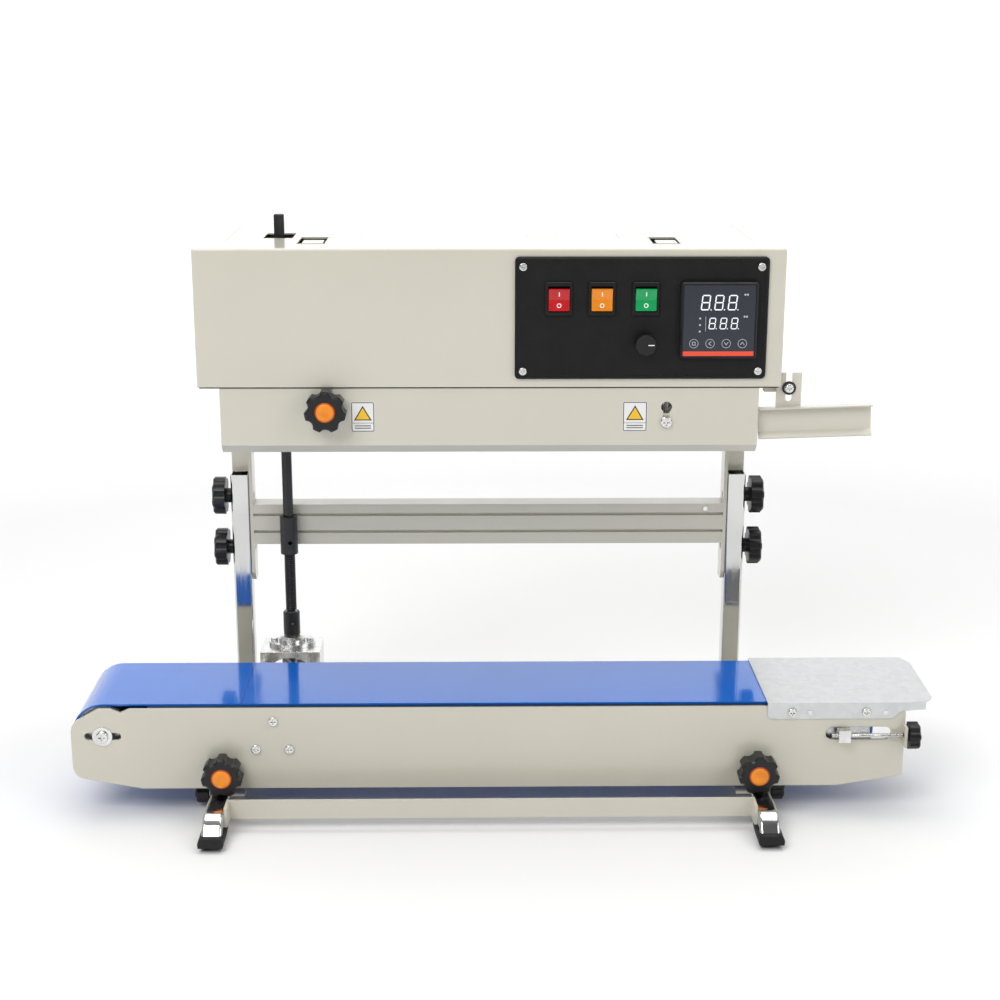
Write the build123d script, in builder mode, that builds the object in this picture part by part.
"""Continuous band sealer on its conveyor: every piece is its own solid, in mm, +Z up.

Origin: middle of the bounding box in plan, floor at Z = 0. The operator stands on the
-Y side; bags travel along -X, from the infeed plate on the right to the open end.
"""

import math
import os

from build123d import *

os.makedirs("parts", exist_ok=True)

# ---- stand --------------------------------------------------------------
STAND_X = -13.5  # middle plane between the two frames, and of the sealing head
FRAME_X = 271.0  # from there to the middle of each frame tube
TUBE = 20.0  # square tube
TUBE_WALL = 1.5
TUBE_CORNER = 3.0
BASE_Z = 18.5  # middle of the base tube
BASE_HALF = 178.9  # where the base tube turns down, seen as a sharp corner
BASE_BEND = 14.0
BASE_KNOB_Z = 22.0  # axis of the side knobs that hold the conveyor on the base tubes
SLANT = math.radians(36.0)  # how far the feet lean out from the vertical
TUBE_END_Z = 5.0
CAP_TIP = 206.5
POST_Y = 107.5
POST_TOP = 297.0
KNOB_HEIGHTS = (("upper", 272.0), ("lower", 213.5))
TRAVEL_UP = 15.0  # of the head on the posts
TRAVEL_DOWN = 25.0

# ---- conveyor -----------------------------------------------------------
PLATE_FRONT = -120.5  # outside of the front side plate
PLATE_BACK = 5.5  # outside of the rear side plate
PLATE_T = 3.0
BELT_TOP = 117.0
BELT_T = 2.0
BELT_FRONT = -113.2
BELT_BACK = 1.5
BELT_GAP = 0.3  # belt to roller
ROLLER_R = 29.2
ROLLER_Z = BELT_TOP - BELT_T - BELT_GAP - ROLLER_R
IDLER_X = -400.0
TENSION_X = 339.5
DRIVE_X = -231.0
DRIVE_Z = 81.4
DRIVE_R = 27.2
INFEED_TOP = 118.6
INFEED_T = 1.2
CLAMP_X = 267.0  # plate knobs, from the stand middle plane
CLAMP_Z = 49.6

# ---- drive shaft --------------------------------------------------------
SHAFT_X = DRIVE_X
SHAFT_Y = 84.5
SHAFT_TOP = 580.0
HEX_R = 6.0  # over the corners
SLEEVE_R = 9.5
BRACKET_TOP = 108.0

# ---- sealing head -------------------------------------------------------
HEAD_HALF = 294.0
HEAD_FRONT = -16.5
HEAD_BACK = 206.5
COVER_BOTTOM = 418.0
COVER_TOP = 557.0
SHEET = 1.5
CHASSIS_BOTTOM = 416.5
GUARD_FRONT = -14.5
GUARD_HALF = 272.0
GUARD_CREASE = 357.3
GUARD_HEM = 8.7
SLOT_FRONT = 33.0  # the bag mouth passes between these two planes
SLOT_BACK = 40.0
BAND_Z = 372.0
BAND_W = 15.0
BAND_T = 0.8
WHEEL_R = 22.0
FRONT_WHEEL_Y = 12.9
REAR_WHEEL_Y = 60.1
DRIVE_WHEEL_X = -193.0
IDLE_WHEEL_X = 165.0
GEAR_Z = 426.0
GEAR_T = 8.0
WHEEL_GEAR_R = 23.3
HEX_GEAR_R = 21.3
MOTOR_GEAR_R = 27.9
MOTOR_X = -160.0
MOTOR_Y = 100.0
PANEL_FACE = -20.5
PANEL_MIN = (11.3, 426.7)  # X, Z of its lower left corner
PANEL_SIZE = (252.0, 122.5)
CONTROLLER = (213.8, 486.8)
SPEED_KNOB = (141.1, 463.3)
SWITCH_X = (("red", 54.9), ("amber", 97.5), ("green", 141.2))
SWITCH_Z = 507.7
ROCKER_TILT = -6.0
KEYHOLE = (165.4, 396.7)
GUARD_KNOB = (-178.0, 397.0)
RAIL_SCREW = (290.7, 414.0)
RAIL_TILT = math.radians(1.8)

SIDES = (("left", -1), ("right", 1))


def save(piece, name):
    """Name a finished piece and write it."""
    piece.label = name
    export_step(piece, f"parts/{name}.step")


def facing(origin, direction):
    """Plane at a point whose normal is the given direction."""
    return Plane(origin=origin, z_dir=direction)


def rod(start, direction, radius, length, bore=0.0):
    """Round bar, or a sleeve when it has a bore."""
    with BuildPart() as bar:
        with BuildSketch(facing(start, direction)):
            Circle(radius)
            if bore:
                Circle(bore, mode=Mode.SUBTRACT)
        extrude(amount=length)
    return bar.part


def block(low, high):
    """Plain block between two opposite corners."""
    size = [b - a for a, b in zip(low, high)]
    middle = tuple((a + b) / 2 for a, b in zip(low, high))
    with BuildPart() as piece:
        with Locations(middle):
            Box(*size)
    return piece.part


def outline(plane, points, amount):
    """Flat piece from a closed outline drawn on a plane."""
    with BuildPart() as piece:
        with BuildSketch(plane):
            with BuildLine():
                Polyline(*points, close=True)
            make_face()
        extrude(amount=amount)
    return piece.part


def across(x):
    """Plane square to X at x: sketch coordinates are Y and Z."""
    return Plane(origin=(x, 0, 0), x_dir=(0, 1, 0), z_dir=(1, 0, 0))


def upright(y):
    """Plane square to Y at y: sketch coordinates are X and Z, extrusion goes to +Y."""
    return Plane(origin=(0, y, 0), x_dir=(-1, 0, 0), z_dir=(0, 1, 0))


def front_face(y):
    """Plane square to Y at y seen from the front: X and Z, extrusion goes to -Y."""
    return Plane(origin=(0, y, 0), x_dir=(1, 0, 0), z_dir=(0, -1, 0))


def star_knob(base, direction, radius, thick, hub, hub_length, stud, stud_length, recess=0.0):
    """Scalloped clamping knob: its hub stands on the base point, its stud goes the other way."""
    plane = facing(base, direction)
    with BuildPart() as knob:
        with BuildSketch(plane):
            Circle(hub)
        extrude(amount=hub_length)
        with BuildSketch(plane.offset(hub_length)):
            Circle(radius)
            with PolarLocations(radius * 1.17, 7):
                Circle(radius * 0.33, mode=Mode.SUBTRACT)
        extrude(amount=thick)
        rim = knob.faces().sort_by(Axis(base, direction))[-1].outer_wire().edges()
        chamfer(rim, length=radius * 0.09)
        with BuildSketch(plane):
            Circle(stud)
        extrude(amount=-stud_length)
        if recess:
            with BuildSketch(plane.offset(hub_length + thick)):
                Circle(recess)
            extrude(amount=-2.0, mode=Mode.SUBTRACT)
    return knob.part


def cross_screw(point, direction, head, height, washer=0.0):
    """Pan head screw with a cross recess, on a flat washer if it has one."""
    plane = facing(point, direction)
    rise = 1.0 if washer else 0.0
    with BuildPart() as screw:
        if washer:
            with BuildSketch(plane):
                Circle(washer)
            extrude(amount=rise)
        with BuildSketch(plane.offset(rise)):
            Circle(head)
        extrude(amount=height)
        top = screw.faces().sort_by(Axis(point, direction))[-1].edges()
        fillet(top, radius=height * 0.45)
        with BuildSketch(plane.offset(rise + height)):
            Rectangle(head * 1.1, head * 0.26)
            Rectangle(head * 0.26, head * 1.1)
        extrude(amount=-height * 0.6, mode=Mode.SUBTRACT)
    return screw.part


def gear(x, y, z, radius, thick):
    """Spur gear blank on a vertical axis with its tooth gaps cut into the rim."""
    with BuildPart() as wheel:
        with BuildSketch(Plane.XY.offset(z)):
            with Locations((x, y)):
                Circle(radius)
                with PolarLocations(radius, 26):
                    Rectangle(4.0, radius * 0.12, mode=Mode.SUBTRACT)
        extrude(amount=thick)
    return wheel.part


# ---- stand: two bent tube frames on moulded caps -------------------------
def tube_section():
    """Square tube section with rounded corners, for the open sketch."""
    RectangleRounded(TUBE, TUBE, TUBE_CORNER)
    inner = TUBE - 2 * TUBE_WALL
    RectangleRounded(inner, inner, TUBE_CORNER - TUBE_WALL, mode=Mode.SUBTRACT)


def frame(side):
    """Base tube bent down to a foot at both ends, with the slotted post welded on."""
    x = STAND_X + side * FRAME_X
    reach = BASE_HALF + (BASE_Z + 10) * math.tan(SLANT)
    foot = TUBE_END_Z
    with BuildPart() as piece:
        with BuildLine(across(x)) as path:
            FilletPolyline(
                (-reach, -10), (-BASE_HALF, BASE_Z), (BASE_HALF, BASE_Z), (reach, -10),
                radius=BASE_BEND,
            )
        start = Plane(origin=path.line @ 0, x_dir=(1, 0, 0), z_dir=path.line % 0)
        with BuildSketch(start):
            tube_section()
        sweep(path=path.line)
        with Locations((x, 0, foot - 50)):
            Box(2 * TUBE, 600, 100, mode=Mode.SUBTRACT)
        with BuildSketch(Plane.XY.offset(BASE_Z + TUBE / 2 - TUBE_WALL / 2)):
            with Locations((x, POST_Y)):
                tube_section()
        extrude(amount=POST_TOP - BASE_Z - TUBE / 2 + TUBE_WALL / 2)
        middle = (TRAVEL_UP - TRAVEL_DOWN) / 2
        with BuildSketch(across(x - TUBE)):
            for _, height in KNOB_HEIGHTS:
                with Locations((POST_Y, height + middle)):
                    SlotCenterToCenter(TRAVEL_UP + TRAVEL_DOWN, 8.6, rotation=90)
        extrude(amount=2 * TUBE, mode=Mode.SUBTRACT)
    return piece.part


def foot_cap(side, end):
    """Moulded cap over the slanting tube end, flat on the floor."""
    x = STAND_X + side * FRAME_X
    half = TUBE / 2 / math.cos(SLANT)
    low = BASE_HALF + (BASE_Z - TUBE_END_Z) * math.tan(SLANT)
    high = BASE_HALF + (BASE_Z - 16.0) * math.tan(SLANT)
    body = (
        (end * (CAP_TIP - 33.0), 0), (end * (CAP_TIP - 12.0), 0), (end * CAP_TIP, 5.5),
        (end * (CAP_TIP - 4.0), 13.0), (end * (CAP_TIP - 43.0), 13.0),
    )
    rear = CAP_TIP - 50.0
    pocket = (
        (end * (low - half - 0.6), TUBE_END_Z), (end * (low + half), TUBE_END_Z),
        (end * (high + half), 16.0), (end * rear, 16.0), (end * rear, 7.9),
        (end * (low - half - 3.3), 7.9),
    )
    with BuildPart() as cap:
        with BuildSketch(across(x - 13.5)):
            with BuildLine():
                Polyline(*body, close=True)
            make_face()
        extrude(amount=27.0)
        with BuildSketch(front_face(CAP_TIP + 1)) as cup:
            with BuildLine():
                Polyline((x - 10.6, 0), (x + 10.6, 0), (x + 13.5, 13.0), (x - 13.5, 13.0), close=True)
            make_face()
            fillet(cup.vertices().group_by(Axis.Z)[0], radius=4.0)
        extrude(amount=2 * CAP_TIP + 2, mode=Mode.INTERSECT)
        with BuildSketch(across(x - TUBE / 2)):
            with BuildLine():
                Polyline(*pocket, close=True)
            make_face()
        extrude(amount=TUBE, mode=Mode.SUBTRACT)
    return cap.part


def saddle(side):
    """Folded bracket over the base tube that carries the front side plate."""
    x = STAND_X + side * FRAME_X
    inner = x - side * 10.0
    outer = x + side * 10.0
    plate_y = PLATE_FRONT + PLATE_T
    lows = sorted((inner - side * 2.5, inner))
    highs = sorted((outer, outer + side * 2.5))
    hem = sorted((inner - side * 12.5, inner))
    web = sorted((inner - side * 2.5, outer + side * 2.5))
    clamp = STAND_X + side * CLAMP_X
    top = BASE_Z + TUBE / 2
    with BuildPart() as piece:
        add(block((web[0], plate_y, top), (web[1], -60, top + 3)))
        add(block((lows[0], plate_y, BASE_Z), (lows[1], -60, top + 3)))
        add(block((highs[0], plate_y, top - 21), (highs[1], -60, top + 3)))
        add(block((hem[0], plate_y, BASE_Z), (hem[1], -60, BASE_Z + 2.5)))
        add(block((web[0], plate_y, top), (web[1], plate_y + 3, 84)))
        with BuildSketch(front_face(plate_y + 4)):
            with Locations((clamp, CLAMP_Z)):
                Circle(4.06)
        extrude(amount=5, mode=Mode.SUBTRACT)
        with BuildSketch(across(highs[0] - 1)):
            with Locations((-96.5, BASE_KNOB_Z)):
                Circle(4.06)
        extrude(amount=4.5, mode=Mode.SUBTRACT)
    return piece.part


def crossbar():
    """Flat bar between the front legs, its ends folded forward along the legs."""
    half = FRAME_X - TUBE / 2
    with BuildPart() as bar:
        add(block((STAND_X - half, -157.5, 13), (STAND_X + half, -154.5, 32.5)))
        for side in (-1, 1):
            tab = sorted((STAND_X + side * (half - 3), STAND_X + side * half))
            add(block((tab[0], -176, 13), (tab[1], -154.5, 32.5)))
    return bar.part


for name, side in SIDES:
    save(frame(side), f"{name}_frame")
save(Compound([foot_cap(s, e) for s in (-1, 1) for e in (-1, 1)]), "foot_caps")
save(Compound([saddle(-1), saddle(1)]), "conveyor_saddles")
save(crossbar(), "front_crossbar")

for name, side in SIDES:
    wall = STAND_X + side * (FRAME_X + TUBE / 2 + 2.8)
    knob = star_knob((wall, -96.5, BASE_KNOB_Z), (side, 0, 0), 18.0, 13.0, 7.0, 2.0, 4.0, 2.6)
    save(knob, f"{name}_base_knob")
    base = (STAND_X + side * CLAMP_X, PLATE_FRONT - 0.3, CLAMP_Z)
    save(star_knob(base, (0, -1, 0), 20.4, 17.0, 9.0, 7.0, 4.0, 6.0, 10.4), f"{name}_plate_knob")


# ---- conveyor ------------------------------------------------------------
PLATE_OUTLINE = (
    (-431.5, 52), (-431.5, 91), (-430, 97), (-426, 102), (-414, 109), (-404, 114.5), (-391.5, 114.5),
    (-382.2, 110.5), (-372.9, 114.5), (401.5, 114.5), (401.5, 40), (336, 29), (-362.5, 29),
    (-419, 39.5), (-425, 41.6), (-429.5, 45.8),
)


def side_plate(face, front):
    """Long side plate with roller slots and a notch over each base tube."""
    holes = 4.3 if front else 8.3
    with BuildPart() as plate:
        with BuildSketch(front_face(face)) as drawing:
            with BuildLine():
                Polyline(*PLATE_OUTLINE, close=True)
            make_face()
            corners = [v for v in drawing.vertices() if v.X < -400 or v.X > 400 and v.Y > 100]
            fillet(corners, radius=7.5)
            for side in (-1, 1):
                with Locations((STAND_X + side * FRAME_X, BASE_Z + 1)):
                    Rectangle(TUBE + 6.0, 25.0, mode=Mode.SUBTRACT)
                if front:
                    with Locations((STAND_X + side * CLAMP_X, CLAMP_Z)):
                        Circle(holes, mode=Mode.SUBTRACT)
            with Locations((IDLER_X, ROLLER_Z)):
                SlotCenterToCenter(28.4, 8.0, mode=Mode.SUBTRACT)
            with Locations((355.0, ROLLER_Z)):
                SlotCenterToCenter(52.2, 13.8, mode=Mode.SUBTRACT)
            if not front:
                with Locations((DRIVE_X, DRIVE_Z)):
                    Circle(holes, mode=Mode.SUBTRACT)
        extrude(amount=PLATE_T)
        if front:
            add(block((399, PLATE_FRONT - 13, 75), (401.5, PLATE_FRONT + 1, 96)))
            with BuildSketch(across(398)):
                with Locations((PLATE_FRONT - 6, ROLLER_Z)):
                    Circle(2.3)
            extrude(amount=5, mode=Mode.SUBTRACT)
    return plate.part


def belt_bed():
    """Sheet bed under the carrying run, folded down onto both side plates."""
    inside = (PLATE_FRONT + PLATE_T, PLATE_BACK - PLATE_T)
    top = BELT_TOP - BELT_T - 0.2
    with BuildPart() as bed:
        add(block((-355, inside[0], top - 2), (295, inside[1], top)))
        add(block((-355, inside[0], top - 12), (295, inside[0] + 2, top)))
        add(block((-355, inside[1] - 2, top - 12), (295, inside[1], top)))
    return bed.part


def belt():
    """Endless belt over both end rollers, pressed down by the drive roller."""
    rollers = (
        (IDLER_X, ROLLER_Z, ROLLER_R), (TENSION_X, ROLLER_Z, ROLLER_R),
        (DRIVE_X, DRIVE_Z, DRIVE_R),
    )
    with BuildPart() as loop:
        for grow, how in ((BELT_GAP + BELT_T, Mode.ADD), (BELT_GAP, Mode.SUBTRACT)):
            with BuildSketch(front_face(BELT_BACK)):
                with BuildLine():
                    for x, z, radius in rollers:
                        CenterArc((x, z), radius + grow, 0, 360)
                make_hull()
            extrude(amount=BELT_BACK - BELT_FRONT, mode=how)
    return loop.part


def roller(x, z, radius, ends, axle):
    """Roller drum with its axle."""
    with BuildPart() as drum:
        add(rod((x, ends[0], z), (0, 1, 0), 3.7 if radius > 28 else 6.0, ends[1] - ends[0]))
        add(rod((x, axle[0], z), (0, 1, 0), radius, axle[1] - axle[0]))
    return drum.part


def infeed_plate():
    """Sheet table ahead of the belt with its front edge folded down."""
    low = INFEED_TOP - INFEED_T
    front = PLATE_FRONT - INFEED_T
    with BuildPart() as table:
        with BuildSketch(Plane.XY.offset(low)) as plan:
            with BuildLine():
                Polyline(
                    (262, PLATE_BACK), (424, PLATE_BACK), (431.5, -12), (430, -108), (424, -117),
                    (398, front), (262.5, front), close=True,
                )
            make_face()
            fillet(plan.vertices().sort_by(Axis.X)[-3:], radius=9)
        extrude(amount=INFEED_T)
        with BuildSketch(front_face(front + INFEED_T)) as hem:
            with BuildLine():
                Polyline((262.5, INFEED_TOP), (262.5, 101.5), (387, 101.5), (398, 110),
                         (398, INFEED_TOP), close=True)
            make_face()
            fillet(hem.vertices().group_by(Axis.Y)[0].sort_by(Axis.X)[0], radius=5)
        extrude(amount=INFEED_T)
        with BuildSketch(Plane.XY.offset(109.5)):
            with BuildLine():
                Polyline((397, front), (422, -117.5), (421.4, -116.3), (397, front + INFEED_T), close=True)
            make_face()
        extrude(amount=low + 0.4 - 109.5)
    return table.part


def tension_block(low, high, bore_from, bore_depth, threaded):
    """Block that holds one end of the tension roller in its slot."""
    with BuildPart() as piece:
        add(block((TENSION_X - 6, low, ROLLER_Z - 6.5), (TENSION_X + 6, high, ROLLER_Z + 6.5)))
        with BuildSketch(facing((TENSION_X, bore_from, ROLLER_Z), (0, bore_depth, 0))):
            Circle(4.0)
        extrude(amount=abs(bore_depth), mode=Mode.SUBTRACT)
        if threaded:
            with BuildSketch(across(TENSION_X - 7)):
                with Locations((PLATE_FRONT - 6, ROLLER_Z)):
                    Circle(2.3)
            extrude(amount=14, mode=Mode.SUBTRACT)
    return piece.part


def conveyor_screws():
    """Cross-head screws and rivets on the front of the conveyor."""
    outward = (0, -1, 0)
    front = PLATE_FRONT
    screws = [cross_screw((IDLER_X - 0.3, front, ROLLER_Z), outward, 6.2, 3.0, washer=10.0)]
    for x, z in ((-230.0, 101.0), (-248.0, 71.4), (-214.7, 71.1)):
        screws.append(cross_screw((x, front, z), outward, 4.9, 2.6))
    for x in (287.5, 361.5):
        screws.append(cross_screw((x, front - INFEED_T, 108.5), outward, 4.6, 2.4))
    for x in (305.0, 381.0):
        screws.append(rod((x, front - INFEED_T, 108.5), outward, 2.4, 0.8))
    return Compound(screws)


save(side_plate(PLATE_FRONT + PLATE_T, True), "conveyor_front_plate")
save(side_plate(PLATE_BACK, False), "conveyor_rear_plate")
save(belt_bed(), "belt_bed")
save(belt(), "conveyor_belt")
save(roller(IDLER_X, ROLLER_Z, ROLLER_R, (-120.2, 5.2), (-112, 0)), "idler_roller")
save(roller(TENSION_X, ROLLER_Z, ROLLER_R, (-123.2, 8.2), (-112, 0)), "tension_roller")
save(roller(DRIVE_X, DRIVE_Z, DRIVE_R, (-112, 103.5), (-105, -8)), "drive_roller")
save(infeed_plate(), "infeed_plate")
save(conveyor_screws(), "conveyor_screws")
front_block = tension_block(-130.5, PLATE_FRONT - 0.3, PLATE_FRONT, -3.0, True)
rear_block = tension_block(PLATE_BACK + 0.3, 14.5, PLATE_BACK, 3.0, False)
save(Compound([front_block, rear_block]), "tension_blocks")
tension_base = (401.8, PLATE_FRONT - 6, ROLLER_Z)
save(star_knob(tension_base, (1, 0, 0), 13.8, 10.5, 6.0, 1.6, 2.0, 76.0), "tension_knob")


# ---- drive from the head down to the conveyor ----------------------------
def drive_bracket():
    """Plated bracket behind the rear plate: two arms, a bored front and a top plate."""
    left = SHAFT_X - 32.5
    right = SHAFT_X + 32.5
    arm = ((PLATE_BACK, 60), (104, 60), (104, BRACKET_TOP), (56, BRACKET_TOP), (56, 95),
           (PLATE_BACK, 95))
    with BuildPart() as bracket:
        add(outline(across(left), arm, 4.5))
        add(outline(across(right - 4.5), arm, 4.5))
        add(block((left, 56, BRACKET_TOP - 4), (right, 104, BRACKET_TOP)))
        add(block((left, 56, 60), (right, 59, BRACKET_TOP)))
        with BuildSketch(front_face(60)):
            with Locations((SHAFT_X, 72.0)):
                Circle(29.5)
            with Locations((SHAFT_X, 60)):
                Rectangle(55, 30)
        extrude(amount=5, mode=Mode.SUBTRACT)
        with BuildSketch(Plane.XY.offset(BRACKET_TOP - 5)):
            with Locations((SHAFT_X, SHAFT_Y)):
                Circle(6.4)
        extrude(amount=6, mode=Mode.SUBTRACT)
    return bracket.part


def flange_bearings():
    """Flanged bearings of the upright shaft and of both ends of the drive roller."""
    with BuildPart() as top:
        with BuildSketch(Plane.XY.offset(BRACKET_TOP)):
            with Locations((SHAFT_X, SHAFT_Y)):
                Ellipse(25.5, 18.5)
                Circle(6.06, mode=Mode.SUBTRACT)
        extrude(amount=4)
        with BuildSketch(Plane.XY.offset(BRACKET_TOP)):
            with Locations((SHAFT_X, SHAFT_Y)):
                Circle(14.5)
                Circle(6.06, mode=Mode.SUBTRACT)
        extrude(amount=10.5)
        chamfer(top.edges().group_by(Axis.Z)[-1].sort_by(SortBy.LENGTH)[-1], length=3)
        with BuildSketch(Plane.XY.offset(BRACKET_TOP + 4)):
            with Locations((SHAFT_X - 19.5, SHAFT_Y), (SHAFT_X + 19.5, SHAFT_Y)):
                RegularPolygon(4.0, 6)
        extrude(amount=3)
    inner_front = rod((DRIVE_X, PLATE_FRONT + PLATE_T, DRIVE_Z), (0, 1, 0), 20.0, 10.5)
    with BuildPart() as front:
        add(inner_front)
        with BuildSketch(upright(PLATE_FRONT + PLATE_T + 5)):
            with Locations((-DRIVE_X, DRIVE_Z)):
                Circle(6.06)
        extrude(amount=8, mode=Mode.SUBTRACT)
    rear = rod((DRIVE_X, PLATE_BACK, DRIVE_Z), (0, 1, 0), 18.0, 10.0, bore=6.06)
    return Compound([top.part, front.part, rear])


def bevel(apex_gap, axis):
    """Mitre gear blank on the upright shaft (axis 1) or on the roller axle (axis 0)."""
    with BuildPart() as cone:
        if axis:
            with Locations((SHAFT_X, SHAFT_Y, DRIVE_Z + apex_gap + 2.5)):
                Cone(8.4, 13.4, 5)
            add(rod((SHAFT_X, SHAFT_Y, DRIVE_Z + apex_gap + 5), (0, 0, 1), 10.0, 6.0))
            add(rod((SHAFT_X, SHAFT_Y, DRIVE_Z + apex_gap), (0, 0, 1), 6.0, 56.0))
        else:
            with Locations(Location((SHAFT_X, SHAFT_Y + apex_gap + 2.5, DRIVE_Z), (-90, 0, 0))):
                Cone(8.4, 13.4, 5)
            add(rod((SHAFT_X, SHAFT_Y + apex_gap + 5, DRIVE_Z), (0, 1, 0), 10.0, 5.0))
            with BuildSketch(upright(SHAFT_Y + 5)):
                with Locations((-DRIVE_X, DRIVE_Z)):
                    Circle(6.0)
            extrude(amount=20, mode=Mode.SUBTRACT)
    return cone.part


def hex_shaft():
    """Hexagon shaft that slides through its gear in the head."""
    with BuildPart() as shaft:
        with BuildSketch(Plane.XY.offset(235)):
            with Locations((SHAFT_X, SHAFT_Y)):
                RegularPolygon(HEX_R, 6, rotation=30)
        extrude(amount=SHAFT_TOP - 235)
        chamfer(shaft.edges().group_by(Axis.Z)[-1], length=0.8)
    return shaft.part


def shaft_coupling(low, high, radius, set_screw):
    """Coupling sleeve with a set screw in its side."""
    with BuildPart() as sleeve:
        add(rod((SHAFT_X, SHAFT_Y, low), (0, 0, 1), radius, high - low, bore=6.2))
        chamfer(sleeve.edges().group_by(Axis.Z)[-1].sort_by(SortBy.LENGTH)[-1], length=0.8)
        with BuildSketch(front_face(SHAFT_Y)):
            with Locations((SHAFT_X + 2, set_screw)):
                Circle(2.2)
        extrude(amount=radius + 2, mode=Mode.SUBTRACT)
    return sleeve.part


save(drive_bracket(), "drive_bracket")
save(flange_bearings(), "flange_bearings")
save(bevel(9.0, 1), "upper_bevel_gear")
save(bevel(9.0, 0), "lower_bevel_gear")
save(shaft_coupling(120, 146, 9.1, 133), "lower_coupling")
save(rod((SHAFT_X, SHAFT_Y, 146.4), (0, 0, 1), 6.2, 75), "spring_shaft")
save(shaft_coupling(213, 255.4, SLEEVE_R, 226.5), "upper_coupling")
save(hex_shaft(), "hex_shaft")


# ---- sealing head --------------------------------------------------------
def head_cover():
    """Folded sheet cover, open below, with its top and panel openings."""
    left = STAND_X - HEAD_HALF
    right = STAND_X + HEAD_HALF
    top = COVER_TOP
    with BuildPart() as cover:
        add(block((left, HEAD_FRONT, COVER_BOTTOM), (right, HEAD_BACK, top)))
        fillet(cover.edges().group_by(Axis.Z)[-1], radius=2.5)
        fillet(cover.edges().filter_by(Axis.Z), radius=2.0)
        inside = block((left + SHEET, HEAD_FRONT + SHEET, COVER_BOTTOM - 1),
                       (right - SHEET, HEAD_BACK - SHEET, top - SHEET))
        add(inside, mode=Mode.SUBTRACT)
        with BuildSketch(Plane.XY.offset(top - 2)):
            with Locations((SHAFT_X, SHAFT_Y + 6)):
                Rectangle(30, 44)
            for x in (DRIVE_WHEEL_X, IDLE_WHEEL_X):
                with Locations((x, 48)):
                    Rectangle(30, 56)
        extrude(amount=4, mode=Mode.SUBTRACT)
        with BuildSketch(Plane.XY.offset(top - 0.4)):
            for x in (-162.0, -67.2, 41.7, 135.4):
                with Locations((x, 90)):
                    RectangleRounded(31, 52, 4)
                    RectangleRounded(29.4, 50.4, 3.2, mode=Mode.SUBTRACT)
            for x in (-281.6, 254.6):
                with Locations((x, 108)):
                    Rectangle(1.0, 160)
        extrude(amount=2, mode=Mode.SUBTRACT)
        with BuildSketch(front_face(HEAD_FRONT + 3)):
            with Locations((PANEL_MIN[0] + PANEL_SIZE[0] / 2, PANEL_MIN[1] + PANEL_SIZE[1] / 2)):
                Rectangle(PANEL_SIZE[0] - 30, PANEL_SIZE[1] - 30)
        extrude(amount=6, mode=Mode.SUBTRACT)
    return cover.part


def chassis():
    """Folded pan that carries the works, with guard tabs and the rail ear."""
    left = STAND_X - HEAD_HALF + SHEET
    right = STAND_X + HEAD_HALF - SHEET
    front = HEAD_FRONT + SHEET
    back = HEAD_BACK - SHEET
    low = CHASSIS_BOTTOM
    with BuildPart() as pan:
        add(block((left, front, low), (right, back, low + 12)))
        add(block((left + 2, front + 2, low + 2), (right - 2, back - 2, low + 13)), mode=Mode.SUBTRACT)
        for x in (GUARD_KNOB[0], KEYHOLE[0]):
            add(block((x - 12, GUARD_FRONT + SHEET, 372), (x + 12, GUARD_FRONT + SHEET + 2, low)))
        notch = GUARD_KNOB[0] + 1.0
        add(block((notch - 5.4, GUARD_FRONT, 404), (notch + 5.4, GUARD_FRONT + 5, low)), mode=Mode.SUBTRACT)
        add(block((right - 12, 4, low - 8), (RAIL_SCREW[0] + 8, 15, low)))
        with BuildSketch(front_face(16)):
            with Locations(RAIL_SCREW):
                Circle(2.6)
        extrude(amount=13, mode=Mode.SUBTRACT)
        with BuildSketch(front_face(GUARD_FRONT + 6)):
            with Locations(GUARD_KNOB):
                Circle(4.06)
            with Locations(KEYHOLE):
                Circle(7.0)
        extrude(amount=7, mode=Mode.SUBTRACT)
        with BuildSketch(Plane.XY.offset(low - 1)):
            for x in (DRIVE_WHEEL_X, IDLE_WHEEL_X):
                with Locations((x, FRONT_WHEEL_Y), (x, REAR_WHEEL_Y)):
                    Circle(5.06)
            with Locations((SHAFT_X, SHAFT_Y)):
                Circle(11.06)
        extrude(amount=4, mode=Mode.SUBTRACT)
    return pan.part


def guard(front):
    """Folded guard below the chassis: front one with its keyhole, rear one plain."""
    half = GUARD_HALF if front else 250.0
    wall = GUARD_FRONT if front else 116.0
    into = 1 if front else -1
    edge = SLOT_FRONT if front else SLOT_BACK
    t = SHEET
    wall_in = wall + into * t
    skin = [
        (wall, CHASSIS_BOTTOM), (wall, GUARD_CREASE),
        (wall + into * GUARD_HEM, GUARD_CREASE - GUARD_HEM),
        (wall + into * (GUARD_HEM + t), GUARD_CREASE - GUARD_HEM + t),
        (wall_in, GUARD_CREASE + 0.7), (wall_in, CHASSIS_BOTTOM),
    ]
    with BuildPart() as sheet:
        add(outline(across(STAND_X - half), skin, 2 * half))
        for x in (STAND_X - half, STAND_X + half - t):
            low, high = sorted((wall, edge))
            end = [(low, CHASSIS_BOTTOM), (high, CHASSIS_BOTTOM), (high, GUARD_CREASE), (low, GUARD_CREASE)]
            add(outline(across(x), end, t))
        if front:
            with BuildSketch(front_face(wall + 20)):
                with Locations(KEYHOLE):
                    Circle(5.5)
                with Locations((KEYHOLE[0], KEYHOLE[1] - 8)):
                    SlotOverall(24, 6.6, rotation=90)
                with Locations((GUARD_KNOB[0] + 1.0, GUARD_KNOB[1] + 8)):
                    SlotOverall(32, 10.8, rotation=90)
            extrude(amount=25, mode=Mode.SUBTRACT)
    return sheet.part


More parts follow.
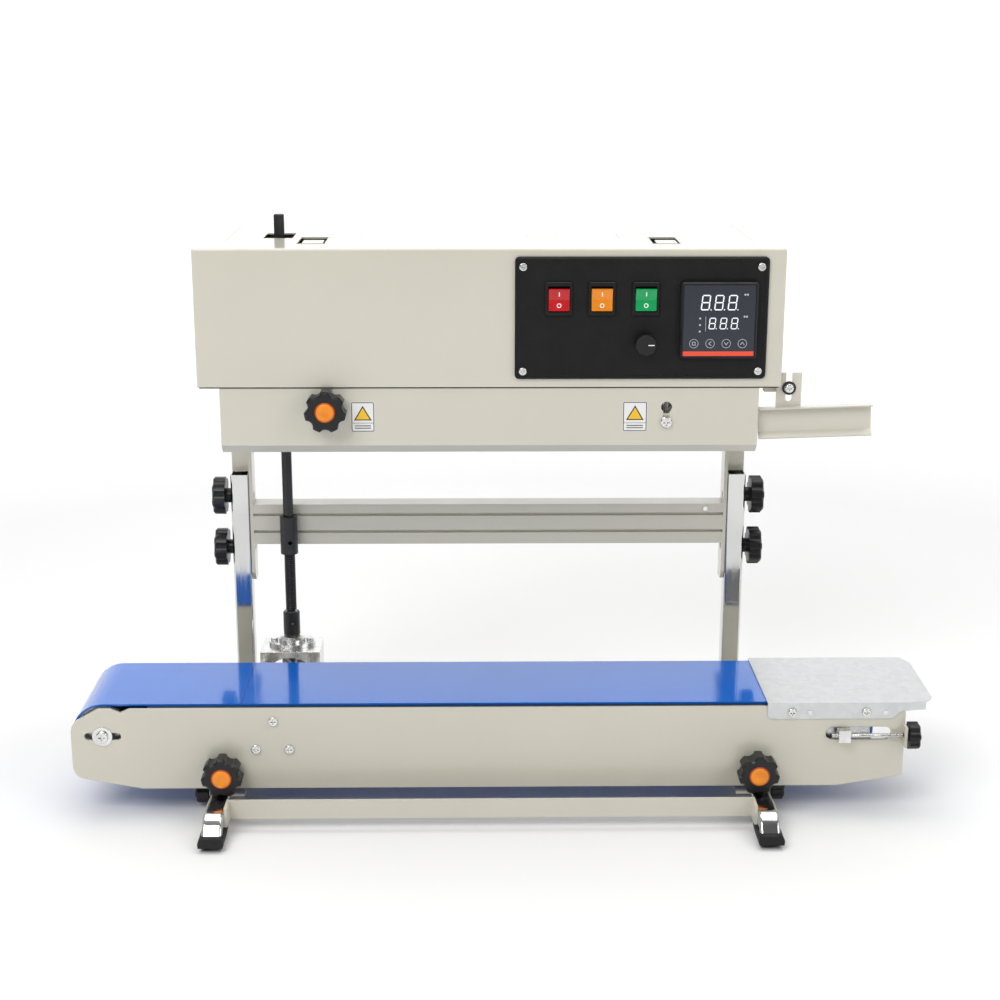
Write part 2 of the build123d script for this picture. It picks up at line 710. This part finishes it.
def head_bracket(side):
    """Angle that hangs from the chassis and slides behind and beside its post."""
    x = STAND_X + side * FRAME_X
    inner = sorted((x - side * 14.0, x - side * 10.3))
    wide = sorted((x - side * 14.0, x + side * 10.0))
    flange = sorted((x - side * 20.0, x + side * 10.0))
    rear = POST_Y + TUBE / 2 + 0.3
    with BuildPart() as angle:
        leg = [(POST_Y - 10, CHASSIS_BOTTOM), (rear + 3.7, CHASSIS_BOTTOM), (rear + 3.7, 176),
               (POST_Y - 2, 176), (POST_Y - 10, 186)]
        add(outline(across(inner[0]), leg, inner[1] - inner[0]))
        add(block((wide[0], rear, 176), (wide[1], rear + 3.7, CHASSIS_BOTTOM)))
        add(block((flange[0], POST_Y - 10, CHASSIS_BOTTOM - 3.5), (flange[1], rear + 3.7, CHASSIS_BOTTOM)))
        with BuildSketch(across(inner[0] - 1)):
            for _, height in KNOB_HEIGHTS:
                with Locations((POST_Y, height)):
                    Circle(4.06)
        extrude(amount=6, mode=Mode.SUBTRACT)
    return angle.part


def crossbeam():
    """Hollow ribbed extrusion between the two head brackets."""
    half = FRAME_X - 14.0
    front = POST_Y - 10
    with BuildPart() as beam:
        with BuildSketch(across(STAND_X - half)) as section:
            with Locations((front + 12, 241.5)):
                Rectangle(24, 45)
                Rectangle(19, 40, mode=Mode.SUBTRACT)
            for z in (252.3, 233.1):
                with Locations((front + 1, z)):
                    Rectangle(8, 6)
                    Rectangle(5, 3, mode=Mode.SUBTRACT)
            with Locations((front - 5, 241.5)):
                Rectangle(10, 60, mode=Mode.SUBTRACT)
        extrude(amount=2 * half)
    return beam.part


def control_panel():
    """Moulded panel plate with openings for switches, knob and controller."""
    middle = (PANEL_MIN[0] + PANEL_SIZE[0] / 2, PANEL_MIN[1] + PANEL_SIZE[1] / 2)
    with BuildPart() as panel:
        with BuildSketch(front_face(HEAD_FRONT)):
            with Locations(middle):
                RectangleRounded(*PANEL_SIZE, 4.5)
        extrude(amount=HEAD_FRONT - PANEL_FACE)
        chamfer(panel.faces().sort_by(Axis.Y)[0].outer_wire().edges(), length=1.6)
        with BuildSketch(front_face(HEAD_FRONT + 1)):
            for _, x in SWITCH_X:
                with Locations((x, SWITCH_Z)):
                    Rectangle(24, 30)
            with Locations(SPEED_KNOB):
                Circle(3.4)
            with Locations(CONTROLLER):
                Rectangle(68, 68)
        extrude(amount=10, mode=Mode.SUBTRACT)
    return panel.part


def switch_body(x):
    """Snap-in rocker switch housing with its bezel and pocket."""
    with BuildPart() as body:
        with BuildSketch(front_face(PANEL_FACE + 24)):
            with Locations((x, SWITCH_Z)):
                Rectangle(23.8, 29.8)
        extrude(amount=24)
        with BuildSketch(front_face(PANEL_FACE)):
            with Locations((x, SWITCH_Z)):
                RectangleRounded(27.6, 34.0, 2.0)
        extrude(amount=2.4)
        chamfer(body.faces().sort_by(Axis.Y)[0].outer_wire().edges(), length=0.8)
        with BuildSketch(front_face(PANEL_FACE + 10)):
            with Locations((x, SWITCH_Z)):
                Rectangle(21.4, 25.4)
        extrude(amount=15, mode=Mode.SUBTRACT)
    return body.part


def rocker(x):
    """Rocker key in its off position: lower half pressed in."""
    shape = ((-3.0, -11.0), (-6.0, -11.0), (-4.4, 0.0), (-6.0, 11.0), (-3.0, 11.0), (5.5, 2.5), (5.5, -2.5))
    turn = math.radians(ROCKER_TILT)
    points = []
    for y, z in shape:
        points.append((
            PANEL_FACE + 1.0 + y * math.cos(turn) + z * math.sin(turn),
            SWITCH_Z - y * math.sin(turn) + z * math.cos(turn),
        ))
    return outline(across(x - 10.3), points, 20.6)


def temperature_controller():
    """Panel instrument: square case behind a raised bezel with a recessed face."""
    centre = CONTROLLER
    with BuildPart() as unit:
        with BuildSketch(front_face(PANEL_FACE + 62)):
            with Locations(centre):
                Rectangle(67.4, 67.4)
        extrude(amount=62)
        with BuildSketch(front_face(PANEL_FACE)):
            with Locations(centre):
                RectangleRounded(76.6, 76.6, 2.5)
        extrude(amount=7)
        chamfer(unit.faces().sort_by(Axis.Y)[0].outer_wire().edges(), length=1.5)
        with BuildSketch(front_face(PANEL_FACE - 7)):
            with Locations(centre):
                RectangleRounded(71.4, 71.4, 1.5)
        extrude(amount=-0.8, mode=Mode.SUBTRACT)
    return unit.part


def speed_knob():
    """Small knurled knob on its spindle, with a pointer groove."""
    x, z = SPEED_KNOB
    with BuildPart() as knob:
        with BuildSketch(front_face(PANEL_FACE - 0.4)):
            with Locations((x, z)):
                Circle(10.3)
                with PolarLocations(10.6, 30):
                    Circle(0.62, mode=Mode.SUBTRACT)
        extrude(amount=13)
        chamfer(knob.faces().sort_by(Axis.Y)[0].outer_wire().edges(), length=0.5)
        with BuildSketch(front_face(PANEL_FACE + 12)):
            with Locations((x, z)):
                Circle(3.0)
        extrude(amount=12.4)
        with BuildSketch(front_face(PANEL_FACE - 13.4)):
            with Locations((x + 5.2, z)):
                Rectangle(8.4, 1.5)
        extrude(amount=-0.8, mode=Mode.SUBTRACT)
    return knob.part


def guide_rail():
    """Folded infeed rail under its slotted hanger plate."""
    start = Plane(origin=(260.5, 0, 380), x_dir=(0, 1, 0),
                  z_dir=(math.cos(RAIL_TILT), 0, math.sin(RAIL_TILT)))
    section = ((-12, 14), (-12, 12.6), (-3.4, 12.6), (-3.4, -11.8), (-9.2, -17.4), (-8.2, -18.4),
               (-2, -12.4), (-2, 14))
    with BuildPart() as rail:
        with BuildSketch(start) as drawing:
            with BuildLine():
                Polyline(*section, close=True)
            make_face()
        extrude(amount=115.5)
        with BuildSketch(front_face(-2)):
            with BuildLine():
                Polyline((278, 393.5), (303.4, 393.5), (303.4, 429.6), (281.6, 429.6), (281.6, 416),
                         (278, 416), close=True)
            make_face()
            with Locations((RAIL_SCREW[0], 418)):
                SlotOverall(36, 6.4, rotation=90, mode=Mode.SUBTRACT)
        extrude(amount=1.4)
        with Locations((378, -6, 362)):
            Box(9, 12, 7, rotation=(0, -45, 0), mode=Mode.SUBTRACT)
    return rail.part


def head_screws():
    """Panel screws, keyhole screw, rail screw with washer and the beam screw."""
    outward = (0, -1, 0)
    screws = []
    for x in (19.3, 255.1):
        for z in (434.9, 539.4):
            screws.append(cross_screw((x, PANEL_FACE, z), outward, 4.0, 2.0))
    screws.append(cross_screw((KEYHOLE[0], GUARD_FRONT, KEYHOLE[1] - 15.3), outward, 6.0, 3.2))
    with BuildPart() as rail_screw:
        add(cross_screw((RAIL_SCREW[0], -3.6, RAIL_SCREW[1]), outward, 4.6, 3.0, washer=6.9))
        add(rod((RAIL_SCREW[0], -3.6, RAIL_SCREW[1]), (0, 1, 0), 2.6, 16.0))
    screws.append(rail_screw.part)
    screws.append(rod((224.0, POST_Y - 10, 258.5), outward, 2.6, 1.0))
    return Compound(screws)


save(head_cover(), "head_cover")
save(chassis(), "head_chassis")
save(guard(True), "front_guard")
save(guard(False), "rear_guard")
for name, side in SIDES:
    save(head_bracket(side), f"{name}_head_bracket")
    wall = STAND_X + side * (FRAME_X + TUBE / 2 + 0.3)
    for level, height in KNOB_HEIGHTS:
        knob = star_knob((wall, POST_Y, height), (side, 0, 0), 20.5, 13.5, 8.0, 5.5, 4.0, 24.2)
        save(knob, f"{name}_{level}_knob")
save(crossbeam(), "crossbeam")
save(control_panel(), "control_panel")
save(head_screws(), "head_screws")
save(Compound([switch_body(x) for _, x in SWITCH_X]), "switch_bodies")
for name, x in SWITCH_X:
    save(rocker(x), f"{name}_rocker")
save(temperature_controller(), "temperature_controller")
save(speed_knob(), "speed_knob")
save(guide_rail(), "guide_rail")
guard_base = (GUARD_KNOB[0], GUARD_FRONT - 0.3, GUARD_KNOB[1])
save(star_knob(guard_base, (0, -1, 0), 21.0, 17.0, 9.0, 9.0, 4.0, 3.6, 10.4), "guard_knob")


# ---- sealing works inside the head ---------------------------------------
def band_wheel(x, y, driven):
    """Band wheel on its upright shaft, with a gear on top when it is driven."""
    with BuildPart() as wheel:
        add(rod((x, y, BAND_Z - 0.5), (0, 0, 1), WHEEL_R, BAND_W + 1))
        add(rod((x, y, BAND_Z - 0.5), (0, 0, 1), 5.0, GEAR_Z + GEAR_T - BAND_Z))
        if driven:
            add(gear(x, y, GEAR_Z, WHEEL_GEAR_R, GEAR_T))
        else:
            add(rod((x, y, CHASSIS_BOTTOM + 2.3), (0, 0, 1), 9.0, 6.0))
    return wheel.part


def band(y):
    """Endless sealing band round two wheels."""
    span = IDLE_WHEEL_X - DRIVE_WHEEL_X
    middle = (IDLE_WHEEL_X + DRIVE_WHEEL_X) / 2
    inner = 2 * (WHEEL_R + 0.3)
    with BuildPart() as loop:
        with BuildSketch(Plane.XY.offset(BAND_Z)):
            with Locations((middle, y)):
                SlotCenterToCenter(span, inner + 2 * BAND_T)
                SlotCenterToCenter(span, inner, mode=Mode.SUBTRACT)
        extrude(amount=BAND_W)
    return loop.part


def pressing_block(low_x, high_x, near, far, fins):
    """Heating or cooling block on two pillars under the chassis."""
    low_y, high_y = sorted((near, far))
    middle = (low_y + high_y) / 2
    with BuildPart() as piece:
        add(block((low_x, low_y, BAND_Z - 2), (high_x, high_y, BAND_Z + BAND_W + 2)))
        for x in (low_x + 8, high_x - 8):
            add(rod((x, middle, BAND_Z + BAND_W + 2), (0, 0, 1), 3.0, CHASSIS_BOTTOM - BAND_Z - BAND_W - 2))
        if fins:
            for step in range(5):
                x = low_x + 15 + step * (high_x - low_x - 30) / 4
                add(block((x - 1.5, low_y, BAND_Z + BAND_W + 2), (x + 1.5, high_y, BAND_Z + BAND_W + 12)))
    return piece.part


def drive_motor():
    """Worm gearbox on its foot, with the motor flanged to its side."""
    with BuildPart() as motor:
        add(block((-190, 78, 438), (-130, 136, 486)))
        add(block((-190, 131, CHASSIS_BOTTOM + 2), (-130, 136, 440)))
        add(rod((-131, 103, 470), (1, 0, 0), 31.0, 118.0))
        add(rod((-14, 103, 470), (1, 0, 0), 12.0, 12.0))
        with BuildSketch(Plane.XY.offset(437)):
            with Locations((MOTOR_X, MOTOR_Y)):
                Circle(6.06)
        extrude(amount=14, mode=Mode.SUBTRACT)
    return motor.part


def hex_gear():
    """Gear that turns the hexagon shaft and lets it slide through."""
    with BuildPart() as wheel:
        add(gear(SHAFT_X, SHAFT_Y, GEAR_Z, HEX_GEAR_R, GEAR_T))
        add(rod((SHAFT_X, SHAFT_Y, CHASSIS_BOTTOM), (0, 0, 1), 11.0, GEAR_Z - CHASSIS_BOTTOM))
        with BuildSketch(Plane.XY.offset(CHASSIS_BOTTOM - 1)):
            with Locations((SHAFT_X, SHAFT_Y)):
                RegularPolygon(HEX_R + 0.35, 6, rotation=30)
        extrude(amount=30, mode=Mode.SUBTRACT)
    return wheel.part


def motor_gear():
    """Gear on the gearbox output shaft."""
    with BuildPart() as wheel:
        add(gear(MOTOR_X, MOTOR_Y, GEAR_Z, MOTOR_GEAR_R, GEAR_T))
        add(rod((MOTOR_X, MOTOR_Y, GEAR_Z - 3), (0, 0, 1), 6.0, 27.0))
    return wheel.part


for place, y in (("front", FRONT_WHEEL_Y), ("rear", REAR_WHEEL_Y)):
    save(band_wheel(DRIVE_WHEEL_X, y, True), f"{place}_drive_wheel")
    save(band_wheel(IDLE_WHEEL_X, y, False), f"{place}_idler_wheel")
    save(band(y), f"{place}_band")
front_face_y = FRONT_WHEEL_Y + WHEEL_R + 0.1
rear_face_y = REAR_WHEEL_Y - WHEEL_R - 0.1
for name, ends, fins in (("heating_blocks", (60, 130), False), ("cooling_blocks", (-50, 30), True)):
    pair = [
        pressing_block(*ends, front_face_y, front_face_y - 14, fins),
        pressing_block(*ends, rear_face_y, rear_face_y + 14, fins),
    ]
    save(Compound(pair), name)
save(drive_motor(), "drive_motor")
save(hex_gear(), "hex_gear")
save(motor_gear(), "motor_gear")
